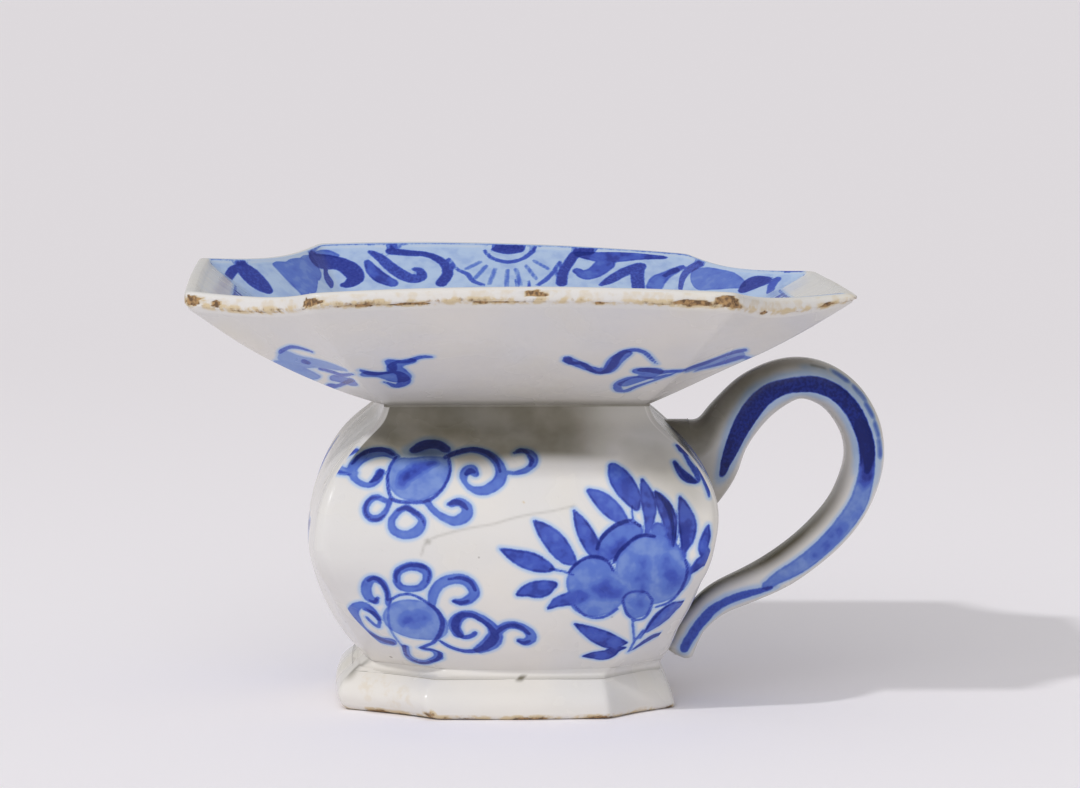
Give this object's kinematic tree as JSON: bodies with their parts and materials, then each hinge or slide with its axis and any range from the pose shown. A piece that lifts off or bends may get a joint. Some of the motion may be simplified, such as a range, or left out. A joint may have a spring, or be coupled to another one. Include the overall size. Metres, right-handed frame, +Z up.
{
  "type": "spittoon",
  "caption": "Handled spittoon of blue and white tin-glazed earthenware: a notched square flaring basin on a squarish globular body with a spreading octagonal foot and a loop handle.",
  "frame": {"origin": "centre of the bounding box in plan, on the surface that the foot stands on", "axes": "+Z up, +X towards the handle, -Y towards the painted front"},
  "size_m": [0.1556, 0.144, 0.0974],
  "materials": {
    "foot_glaze": "glossy cream tin glaze, worn to bare clay at the standing edge",
    "body_glaze": "glossy off-white tin glaze with painted cobalt blue ornament",
    "basin_glaze": "glossy off-white tin glaze with painted cobalt blue ornament and a chipped brown edge",
    "handle_glaze": "glossy tin glaze with broad cobalt blue bands",
    "fired_slip": "matt fired clay slip"
  },
  "bodies": {
    "root": {"foot_ring": "foot_glaze", "foot_slip_joint": "fired_slip", "lower_body": "body_glaze", "belly_slip_joint": "fired_slip", "upper_body": "body_glaze", "neck_slip_joint": "fired_slip", "basin": "basin_glaze", "handle_strap": "handle_glaze", "handle_root_slip": "fired_slip", "handle_tail_slip": "fired_slip"}
  },
  "joints": []
}
